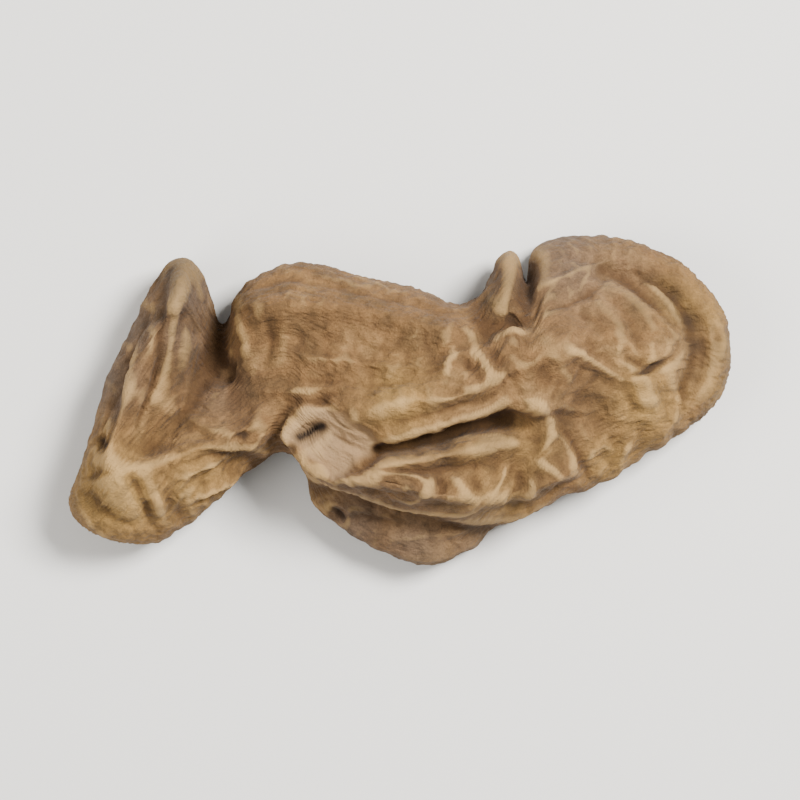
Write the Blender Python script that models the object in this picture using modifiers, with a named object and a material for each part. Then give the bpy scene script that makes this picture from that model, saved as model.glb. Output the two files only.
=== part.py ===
"""One dried wood ear: a thin, ear-shaped sheet of mushroom that curled and creased as it dried.

It is one grown piece, so it is one solid. It lies with its downy outer side up, like a small bowl
turned over, and rests on its rolled rim. The lengths here are in millimetres, and MM makes them
metres where the mesh is filled in.
"""

import bpy
import numpy as np

MM = 0.001

# Driving dimensions
HALF_LENGTH = 21.5      # half the distance between the two tips, where the rim starts to roll
CROWN = 8.0             # height of the sheet's middle above the surface, before its folds
SHOULDER = 5.2          # height where the rim starts to roll
ROLL_START = 32.0       # slope of the sheet there, in degrees
THICKNESS = 0.7         # of the sheet near its stub
RIM_THICKNESS = 0.45    # of the sheet at its edge

# The sheet is worked out on a fine square net and kept at every STEP-th line of it.
NET = 193
STEP = 4
REST = 0.02             # how far the edge's outer corner sits above the surface where it rests
FLAT_SHARE = 0.80       # share of the net's half width that lies inside the roll
SMOOTHINGS = 30         # passes that round off the folds, each one net line wide

# The rim, anticlockwise from the right tip. Each row is a point where the roll starts, x and y,
# then the roll's radius, how far round it turns in degrees, and the edge's height at its end.
RIM = [
    (21.5, 3.0, 2.6, 135, 0.0),
    (21.2, 5.5, 2.6, 125, 1.2),
    (20.2, 7.3, 2.5, 115, 2.6),
    (18.5, 8.8, 2.4, 112, 3.0),
    (16.2, 9.9, 2.4, 115, 2.0),
    (13.0, 10.3, 2.4, 120, -0.1),
    (10.3, 10.1, 2.0, 110, 0.6),
    (9.3, 9.2, 1.2, 95, 1.4),
    (8.2, 7.4, 0.5, 80, 2.2),
    (7.2, 9.6, 0.6, 70, 2.6),
    (5.6, 7.2, 0.6, 80, 2.4),
    (3.8, 6.1, 1.6, 100, 2.2),
    (0.8, 6.7, 2.5, 120, 1.2),
    (-2.5, 7.3, 2.6, 135, -0.2),
    (-5.2, 8.0, 2.6, 135, 1.0),
    (-7.4, 8.3, 2.4, 128, 2.4),
    (-9.3, 7.8, 2.0, 120, 2.4),
    (-10.8, 6.9, 1.0, 95, 1.8),
    (-12.2, 5.4, 0.4, 80, 1.6),
    (-13.4, 7.2, 0.7, 90, 1.6),
    (-14.6, 9.0, 1.6, 120, 1.4),
    (-16.0, 7.4, 1.9, 130, 0.6),
    (-17.6, 4.1, 2.2, 140, -0.2),
    (-19.0, 0.8, 2.2, 130, 1.4),
    (-20.0, -2.6, 2.0, 118, 2.4),
    (-21.0, -5.4, 2.0, 118, 1.2),
    (-21.5, -7.0, 2.2, 120, -0.2),
    (-20.8, -7.9, 2.2, 120, -0.3),
    (-19.6, -8.4, 2.3, 120, -0.1),
    (-17.3, -8.6, 2.3, 112, 1.6),
    (-15.2, -7.8, 2.0, 105, 2.6),
    (-12.8, -6.1, 1.6, 100, 3.0),
    (-10.3, -4.4, 0.9, 86, 2.0),
    (-8.0, -3.6, 0.6, 76, 1.4),
    (-6.8, -4.4, 0.6, 80, 1.4),
    (-5.6, -6.7, 0.6, 75, 0.9),
    (-4.0, -8.3, 0.7, 70, 0.7),
    (-1.0, -10.1, 0.8, 65, 0.8),
    (2.0, -10.9, 0.8, 68, 0.9),
    (4.8, -10.0, 0.8, 75, 0.3),
    (6.9, -8.2, 1.2, 95, -0.1),
    (10.5, -5.9, 2.0, 112, 2.2),
    (13.8, -4.3, 2.4, 112, 2.8),
    (16.7, -2.4, 2.5, 120, 1.4),
    (19.0, -0.9, 2.6, 132, 0.0),
    (20.9, 0.9, 2.6, 135, 0.0),
]

# The folds: height, half widths to the left and right of the line, then the line's points.
# A height below zero is a valley.
FOLDS = {
    "strip_second_crest": (1.3, 1.0, 1.0, [(-13.9, 9.0), (-14.2, 6.4), (-15.0, 3.2), (-16.2, 0.2)]),
    "left_strip_crest": (2.9, 1.8, 1.7, [(-14.4, 8.2), (-16.3, 4.8), (-17.9, 1.2), (-19.2, -2.4), (-19.6, -4.6)]),
    "gap_valley": (-1.8, 1.1, 1.2, [(-12.2, 9.0), (-12.4, 5.6), (-12.9, 3.4), (-13.6, 1.4)]),
    "strip_side_valley": (-1.8, 1.1, 1.3, [(-12.2, 9.0), (-12.4, 5.6), (-12.9, 2.6), (-14.4, -0.6), (-16.8, -3.4)]),
    "hollow": (-2.4, 3.2, 3.2, [(-11.8, 2.2), (-11.0, 0.2)]),
    "middle_crest": (2.4, 1.8, 2.6, [(3.2, 4.9), (-1.0, 6.0), (-5.4, 6.6), (-9.2, 6.4)]),
    "heel_ridge": (2.2, 1.8, 1.8, [(-9.4, -1.9), (-12.0, -3.0), (-15.4, -4.2), (-18.8, -5.0)]),
    "heel_pad": (1.4, 2.4, 2.4, [(-14.6, -6.0), (-18.4, -7.0)]),
    "long_ridge": (2.4, 3.0, 3.2, [(-3.0, -0.8), (1.0, 0.2), (4.4, 1.6), (7.8, 2.9), (10.6, 3.3)]),
    "right_dome": (2.0, 5.0, 5.0, [(11.6, 3.8), (14.0, 3.4), (16.5, 2.2)]),
    "pocket_lip": (1.7, 0.9, 2.0, [(9.2, -0.9), (6.6, -0.8), (3.2, -1.7), (-0.4, -2.6)]),
    "pocket_end": (0.8, 0.9, 1.4, [(9.6, -4.4), (10.0, -2.6), (9.2, -0.8)]),
    "pocket_floor": (-2.6, 1.1, 1.3, [(-1.6, -3.9), (2.4, -3.4), (5.6, -2.7), (7.2, -2.6)]),
    "fold_in_pocket": (1.0, 0.9, 0.9, [(0.6, -3.8), (3.4, -3.3), (6.4, -2.8), (7.8, -3.2)]),
    "lower_ridge": (1.7, 1.5, 1.6, [(-4.2, -4.9), (0.0, -5.4), (4.2, -6.2), (8.2, -6.0), (11.6, -4.4)]),
    "skirt_drop": (-2.6, 1.8, 0.9, [(7.0, -8.6), (3.6, -8.4), (0.2, -7.6), (-3.2, -6.6), (-5.0, -5.8)]),
    "tongue_valley_left": (-1.7, 0.9, 0.9, [(3.6, 8.6), (4.8, 6.4), (5.9, 4.4)]),
    "tongue_valley_right": (-1.7, 0.8, 0.8, [(8.3, 9.6), (8.0, 7.0), (6.6, 4.6)]),
    "dimple": (-0.9, 2.0, 2.0, [(12.3, -0.2), (13.4, -0.6)]),
    "rim_groove": (-0.7, 0.9, 0.9, [(13.4, 8.2), (17.0, 7.2), (18.9, 5.0), (19.2, 2.4), (18.0, 0.4)]),
}

# The stub where it grew from the wood, cut off flat: its middle, half sizes, height and slope.
STUB = {"x": -4.6, "y": -2.9, "half_x": 2.6, "half_y": 1.9, "z": 9.2, "slope_x": 0.16, "slope_y": 0.22}


def curve_through(points, count):
    """A Catmull-Rom curve through the points of an open line, at evenly spaced parameters."""
    points = np.asarray(points, float)
    ends = (2 * points[0] - points[1], 2 * points[-1] - points[-2])
    padded = np.vstack([ends[0], points, ends[1]])
    place = np.linspace(0, len(points) - 1, count)
    first = np.minimum(place.astype(int), len(points) - 2)
    t = (place - first)[:, None]
    p0, p1, p2, p3 = (padded[first + i] for i in range(4))
    return 0.5 * (
        2 * p1 + (p2 - p0) * t + (2 * p0 - 5 * p1 + 4 * p2 - p3) * t**2 + (3 * p1 - p0 - 3 * p2 + p3) * t**3
    )


def net_on_disc(lines):
    """A square net of lines by lines points, eased onto the unit disc so that no cell is a pole."""
    side = np.linspace(-1, 1, lines)
    u, v = np.meshgrid(side, side)
    return u * np.sqrt(1 - v**2 / 2), v * np.sqrt(1 - u**2 / 2)


def rim_table():
    """The rim's rows by angle on the disc, closed over the full turn, with the way out of each point."""
    rows = np.array(RIM, float)
    turns = np.arccos(np.clip(rows[:, 0] / HALF_LENGTH, -1, 1))
    lower = np.arange(len(rows)) > np.argmin(rows[:, 0])
    turns[lower] = 2 * np.pi - turns[lower]
    whole = np.concatenate([turns[-3:] - 2 * np.pi, turns, turns[:3] + 2 * np.pi])
    wrapped = np.vstack([rows[-3:], rows, rows[:3]])
    line = curve_through(np.column_stack([whole, wrapped]), 40 * len(rows))
    angle = line[:, 0]
    along = np.gradient(line[:, 1:3], angle, axis=0)
    out = np.column_stack([along[:, 1], -along[:, 0]])
    calm = np.exp(-0.5 * np.linspace(-2.5, 2.5, 161) ** 2)
    out = np.column_stack([np.convolve(out[:, i], calm, mode="same") for i in range(2)])
    out /= np.linalg.norm(out, axis=1, keepdims=True)
    return angle, line[:, 1:], out


def distance_to(line, x, y):
    """Distance from each x, y to a line of points, and whether the place is on the line's left."""
    nearest = np.full(x.shape, 1e9)
    left = np.zeros(x.shape, bool)
    for (x0, y0), (x1, y1) in zip(line[:-1], line[1:]):
        dx, dy = x1 - x0, y1 - y0
        t = np.clip(((x - x0) * dx + (y - y0) * dy) / (dx * dx + dy * dy), 0, 1)
        gap_x, gap_y = x - x0 - t * dx, y - y0 - t * dy
        gap = np.hypot(gap_x, gap_y)
        closer = gap < nearest
        nearest = np.where(closer, gap, nearest)
        left = np.where(closer, dx * gap_y - dy * gap_x > 0, left)
    return nearest, left


def fold_height(fold, x, y):
    """One fold: a tent along its line, with a rounded crest and its own fall on each side."""
    height, left_width, right_width, points = fold
    gap, left = distance_to(curve_through(points, 25), x, y)
    share = gap / np.where(left, left_width, right_width)
    round_off = 0.5
    return height * np.exp(round_off - np.hypot(share, round_off))


def crown_height(x, y, share):
    """Height of the sheet over x, y, where share runs from 0 in the middle to 1 at the roll."""
    height = SHOULDER + (CROWN - SHOULDER) * (1 - share**4)
    return height + sum(fold_height(fold, x, y) for fold in FOLDS.values())


def onto_stub(x, y, z):
    """Presses the sheet onto the flat, sloping cut of the stub inside the stub's oval."""
    away = np.hypot((x - STUB["x"]) / STUB["half_x"], (y - STUB["y"]) / STUB["half_y"])
    held = np.clip((1.9 - away) / 0.9, 0, 1)
    plane = STUB["z"] + STUB["slope_x"] * (x - STUB["x"]) + STUB["slope_y"] * (y - STUB["y"])
    return z + (plane - z) * held


def softened(values, passes):
    """The net with each point moved to the mean of itself and its neighbours, a few times over."""
    for _ in range(passes):
        wide = np.pad(values, ((1, 1), (1, 1), (0, 0)), mode="reflect", reflect_type="odd")
        rows = 0.25 * (wide[:-2] + 2 * wide[1:-1] + wide[2:])
        values = 0.25 * (rows[:, :-2] + 2 * rows[:, 1:-1] + rows[:, 2:])
    return values


def sheet():
    """Points of the sheet's outer side, as a NET by NET by 3 array in millimetres."""
    a, b = net_on_disc(NET)
    reach = np.hypot(a, b)
    turn = np.arctan2(b, a)
    angle, rows, out = rim_table()
    start_y, radius, turned, edge_z = (np.interp(turn, angle, rows[:, i], period=2 * np.pi) for i in (1, 2, 3, 4))
    out_x, out_y = (np.interp(turn, angle, out[:, i], period=2 * np.pi) for i in (0, 1))

    share = np.minimum(reach / FLAT_SHARE, 1)
    scale = share / np.maximum(reach, 1e-9)
    flat_a, flat_b = a * scale, b * scale
    x = HALF_LENGTH * flat_a
    upper = np.interp(np.arccos(np.clip(flat_a, -1, 1)), angle, rows[:, 1])
    lower = np.interp(2 * np.pi - np.arccos(np.clip(flat_a, -1, 1)), angle, rows[:, 1])
    across = flat_b / np.sqrt(np.maximum(1 - flat_a**2, 1e-9))
    y = np.where(share < 1, lower + (upper - lower) * (across + 1) / 2, start_y)
    z = crown_height(x, y, share)

    start = np.radians(ROLL_START)
    rolled = np.clip((reach - FLAT_SHARE) / (1 - FLAT_SHARE), 0, 1)
    slope = start + (np.radians(turned) - start) * rolled
    go_out = radius * (np.sin(slope) - np.sin(start))
    go_down = (np.cos(start) - np.cos(slope)) / (np.cos(start) - np.cos(np.radians(turned)))
    points = np.stack([x + go_out * out_x, y + go_out * out_y, z + (edge_z - z) * go_down], axis=-1)
    points = softened(points, SMOOTHINGS)
    points[..., 2] = onto_stub(*np.moveaxis(points, -1, 0))
    points[..., 2] = np.maximum(points[..., 2], REST)
    middle = (points.min(axis=(0, 1)) + points.max(axis=(0, 1))) / 2
    points[..., :2] -= middle[:2]
    return points


def new_material():
    """The outer side's dull, downy grey-brown."""
    material = bpy.data.materials.new("wood_ear_skin")
    material.use_nodes = True
    shader = material.node_tree.nodes["Principled BSDF"]
    shader.inputs["Base Color"].default_value = (0.27, 0.19, 0.115, 1)
    shader.inputs["Roughness"].default_value = 0.85
    return material


def build():
    """The wood ear: a grid bent into the sheet's shape, given its thickness by Solidify."""
    for old in list(bpy.data.objects):
        bpy.data.objects.remove(old)
    lines = (NET - 1) // STEP
    bpy.ops.mesh.primitive_grid_add(x_subdivisions=lines, y_subdivisions=lines, size=2)
    ear = bpy.context.object
    ear.name = "wood_ear"
    ear.data.name = "wood_ear"
    points = sheet()
    kept = points[::STEP, ::STEP]
    ear.data.vertices.foreach_set("co", (kept.reshape(-1, 3) * MM).ravel())

    a, b = net_on_disc(NET)
    reach = np.hypot(a, b)[::STEP, ::STEP].ravel()
    share = RIM_THICKNESS / THICKNESS
    group = ear.vertex_groups.new(name="thickness")
    for index, far in enumerate(reach):
        group.add([index], 1 - (1 - share) * float(far) ** 3, "REPLACE")
    ear.data.update()
    ear.data.shade_smooth()

    split = ear.modifiers.new("split", "TRIANGULATE")
    split.quad_method = "SHORTEST_DIAGONAL"
    wall = ear.modifiers.new("wall", "SOLIDIFY")
    wall.thickness = THICKNESS * MM
    wall.offset = -1
    wall.vertex_group = group.name
    wall.thickness_clamp = 0.8
    wall.use_thickness_angle_clamp = True
    ear.data.materials.append(new_material())
    place = bpy.data.collections.new("dried_wood_ear")
    bpy.context.scene.collection.children.link(place)
    place.objects.link(ear)
    for other in list(ear.users_collection):
        if other is not place:
            other.objects.unlink(ear)


build()
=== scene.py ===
"""Looks of a dried wood ear: a thin ear-shaped sheet of mushroom, curled, creased and brittle.

The sheet is one net of points. Its broad curl and folds come from a rim table and a table of folds,
and its creases from a third. Then the net is dried: its skin shrinks unevenly until it buckles. A
few splits are pressed in and finer wrinkles are laid on top. The inner side is the same net moved in
by the flesh's thickness, and a rounded rim joins the two. Lengths are in millimetres until a mesh is
filled in.
"""

import math

import bpy
import numpy as np
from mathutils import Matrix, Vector

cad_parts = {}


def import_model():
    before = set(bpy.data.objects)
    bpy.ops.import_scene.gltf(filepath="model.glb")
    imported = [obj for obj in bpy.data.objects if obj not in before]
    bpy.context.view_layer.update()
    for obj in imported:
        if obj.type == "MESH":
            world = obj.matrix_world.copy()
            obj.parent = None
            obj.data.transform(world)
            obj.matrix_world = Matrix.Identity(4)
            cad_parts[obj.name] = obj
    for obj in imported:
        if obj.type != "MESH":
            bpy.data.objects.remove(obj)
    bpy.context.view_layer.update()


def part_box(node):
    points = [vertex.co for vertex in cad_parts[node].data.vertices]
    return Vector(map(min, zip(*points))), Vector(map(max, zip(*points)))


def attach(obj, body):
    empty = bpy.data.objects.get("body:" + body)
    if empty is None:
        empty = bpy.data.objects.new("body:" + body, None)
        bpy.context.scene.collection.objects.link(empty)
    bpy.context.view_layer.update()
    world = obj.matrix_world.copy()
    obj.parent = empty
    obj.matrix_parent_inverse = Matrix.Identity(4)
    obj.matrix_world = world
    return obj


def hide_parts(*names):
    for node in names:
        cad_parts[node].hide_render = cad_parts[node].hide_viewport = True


MM = 0.001
NET = 273               # lines of the net each way, about 0.16 mm apart
INNER_STEP = 2          # the inner side keeps every second line, because it dries smooth
CORNER_LINES = 6        # how far about the net's four corners it is kept calm, in lines
RNG = np.random.default_rng(20)     # every random draw comes from here, in the order of the calls

# ---------------------------------------------------------------------------- the sheet's form

HALF_LENGTH = 21.5      # half the distance between the two tips, where the rim starts to roll
CROWN = 8.0             # height of the sheet's middle before its folds
SHOULDER = 5.2          # height where the rim starts to roll
ROLL_START = 32.0       # slope of the sheet there, in degrees
FLAT_SHARE = 0.80       # share of the net's half width that lies inside the roll
FOLD_ROUNDING = 0.18    # how round the top of a fold is, in its own half widths
CREASE_ROUNDING = 0.15  # the same for a crease
MIDDLE_FLESH = 0.75     # thickness of the flesh under the stub and the middle
EDGE_FLESH = 0.40       # thickness of the flesh at the edge, and its least anywhere

# The rim, anticlockwise from the right tip. Each row is a point where the roll starts, x and y,
# then the roll's radius, how far round it turns in degrees, and the edge's height at its end.
RIM = [
    (21.5, 3.0, 2.6, 135, 0.0),
    (21.2, 5.5, 2.6, 125, 1.2),
    (20.2, 7.3, 2.5, 115, 2.6),
    (18.5, 8.8, 2.4, 112, 3.0),
    (16.2, 9.9, 2.4, 115, 2.0),
    (13.0, 10.3, 2.4, 120, -0.1),
    (10.4, 10.1, 2.0, 110, 0.6),
    (9.5, 9.3, 1.0, 95, 1.4),
    (8.8, 7.6, 0.4, 80, 2.2),
    (8.2, 9.0, 0.4, 74, 2.4),
    (7.6, 10.3, 0.35, 66, 2.6),
    (6.6, 8.7, 0.45, 72, 2.5),
    (5.3, 7.0, 0.6, 80, 2.3),
    (3.6, 6.1, 1.6, 100, 2.2),
    (0.8, 6.7, 2.5, 120, 1.2),
    (-2.5, 7.3, 2.6, 135, -0.2),
    (-5.2, 8.0, 2.6, 135, 1.0),
    (-7.4, 8.3, 2.4, 128, 2.4),
    (-9.3, 7.8, 2.0, 120, 2.4),
    (-10.8, 6.9, 1.0, 95, 1.8),
    (-12.2, 5.0, 0.4, 80, 1.6),
    (-13.4, 7.2, 0.7, 90, 1.6),
    (-14.6, 9.2, 1.6, 120, 1.4),
    (-16.0, 7.4, 1.9, 130, 0.6),
    (-17.6, 4.1, 2.2, 140, -0.2),
    (-19.0, 0.8, 2.2, 130, 1.4),
    (-20.0, -2.6, 2.0, 118, 2.4),
    (-21.0, -5.4, 2.0, 118, 1.2),
    (-21.5, -7.0, 2.2, 120, -0.2),
    (-20.8, -7.9, 2.2, 120, -0.3),
    (-19.6, -8.4, 2.3, 120, -0.1),
    (-17.3, -8.6, 2.3, 112, 1.6),
    (-15.2, -7.8, 2.0, 105, 2.6),
    (-12.8, -6.1, 1.6, 100, 3.0),
    (-10.3, -4.4, 0.9, 86, 2.6),
    (-8.0, -3.4, 0.6, 76, 2.0),
    (-6.8, -4.2, 0.6, 80, 1.4),
    (-5.6, -6.7, 0.6, 75, 0.9),
    (-4.0, -8.3, 0.7, 70, 0.7),
    (-1.0, -10.1, 0.8, 65, 0.8),
    (2.0, -10.9, 0.8, 68, 0.9),
    (4.8, -10.0, 0.8, 75, 0.3),
    (6.9, -8.2, 1.2, 95, -0.1),
    (10.5, -5.9, 2.0, 112, 2.2),
    (13.8, -4.3, 2.4, 112, 2.8),
    (16.7, -2.4, 2.5, 120, 1.4),
    (19.0, -0.9, 2.6, 132, 0.0),
    (20.9, 0.9, 2.6, 135, 0.0),
]

# The broad folds: height, half widths to the left and right of the line, how far the crest leans
# over to the line's right, then the line's points. A height below zero is a valley.
FOLDS = {
    "strip_second_crest": (1.2, 0.8, 1.5, 0.0, [(-13.9, 9.0), (-14.2, 6.4), (-15.0, 3.2), (-16.2, 0.2)]),
    "left_strip_crest": (
        2.9, 1.5, 1.3, 0.0, [(-14.4, 8.2), (-16.3, 4.8), (-17.9, 1.2), (-19.2, -2.4), (-19.6, -4.6)]
    ),
    "gap_valley": (-1.7, 1.0, 1.0, 0.0, [(-12.2, 9.0), (-12.4, 5.6), (-12.9, 3.4), (-13.6, 1.4)]),
    "strip_side_valley": (
        -1.8, 0.9, 1.1, 0.0, [(-12.2, 9.0), (-12.4, 5.6), (-12.9, 2.6), (-14.4, -0.6), (-16.8, -3.4)]
    ),
    "hollow": (-2.4, 3.2, 3.2, 0.0, [(-11.8, 2.2), (-11.0, 0.2)]),
    "middle_crest": (2.4, 1.7, 2.6, 0.0, [(3.2, 4.9), (-1.0, 6.0), (-5.4, 6.6), (-9.2, 6.4)]),
    "heel_ridge": (2.2, 1.5, 1.4, 0.3, [(-9.4, -1.9), (-12.0, -3.0), (-15.4, -4.2), (-18.8, -5.0)]),
    "heel_pad": (1.4, 2.4, 2.4, 0.0, [(-14.6, -6.0), (-18.4, -7.0)]),
    "long_ridge": (2.4, 3.0, 3.2, 0.0, [(-3.0, -0.8), (1.0, 0.2), (4.4, 1.6), (7.8, 2.9), (10.6, 3.3)]),
    "right_dome": (2.0, 5.0, 5.0, 0.0, [(11.6, 3.8), (14.0, 3.4), (16.5, 2.2)]),
    "pocket_lip": (1.6, 0.5, 2.0, -0.6, [(9.2, -0.3), (6.8, 0.0), (3.2, -1.1), (-0.4, -2.3)]),
    "pocket_end": (0.8, 0.6, 1.4, 0.0, [(9.6, -4.4), (10.0, -2.6), (9.2, -0.8)]),
    "fold_in_pocket": (1.9, 0.8, 0.9, 0.0, [(-1.4, -4.1), (2.3, -3.7), (5.4, -3.1), (7.6, -2.8)]),
    "pocket_floor": (-2.6, 0.9, 1.0, 0.0, [(-1.4, -3.2), (2.3, -2.5), (5.0, -1.8), (7.2, -1.2)]),
    "lower_ridge": (2.0, 1.3, 1.0, 0.4, [(-4.2, -4.9), (0.0, -5.4), (4.2, -6.2), (8.2, -6.0), (11.6, -4.4)]),
    "skirt_drop": (-2.9, 4.0, 0.5, 0.0, [(7.0, -8.6), (3.6, -8.4), (0.2, -7.6), (-3.2, -6.6), (-5.0, -5.8)]),
    "tongue_valley_left": (-0.8, 0.6, 0.6, 0.0, [(3.6, 8.2), (4.9, 6.4), (6.0, 4.6)]),
    "tongue_valley_right": (-1.8, 0.5, 0.6, 0.0, [(8.9, 9.8), (8.6, 7.6), (7.6, 5.8), (6.4, 4.8)]),
    "dimple": (-0.9, 2.0, 2.0, 0.0, [(12.3, -0.2), (13.4, -0.6)]),
    "rim_groove": (-1.8, 1.1, 0.8, 0.0, [(13.8, 8.9), (17.3, 7.8), (19.5, 5.6), (20.0, 3.0), (19.0, 0.6)]),
}

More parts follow.
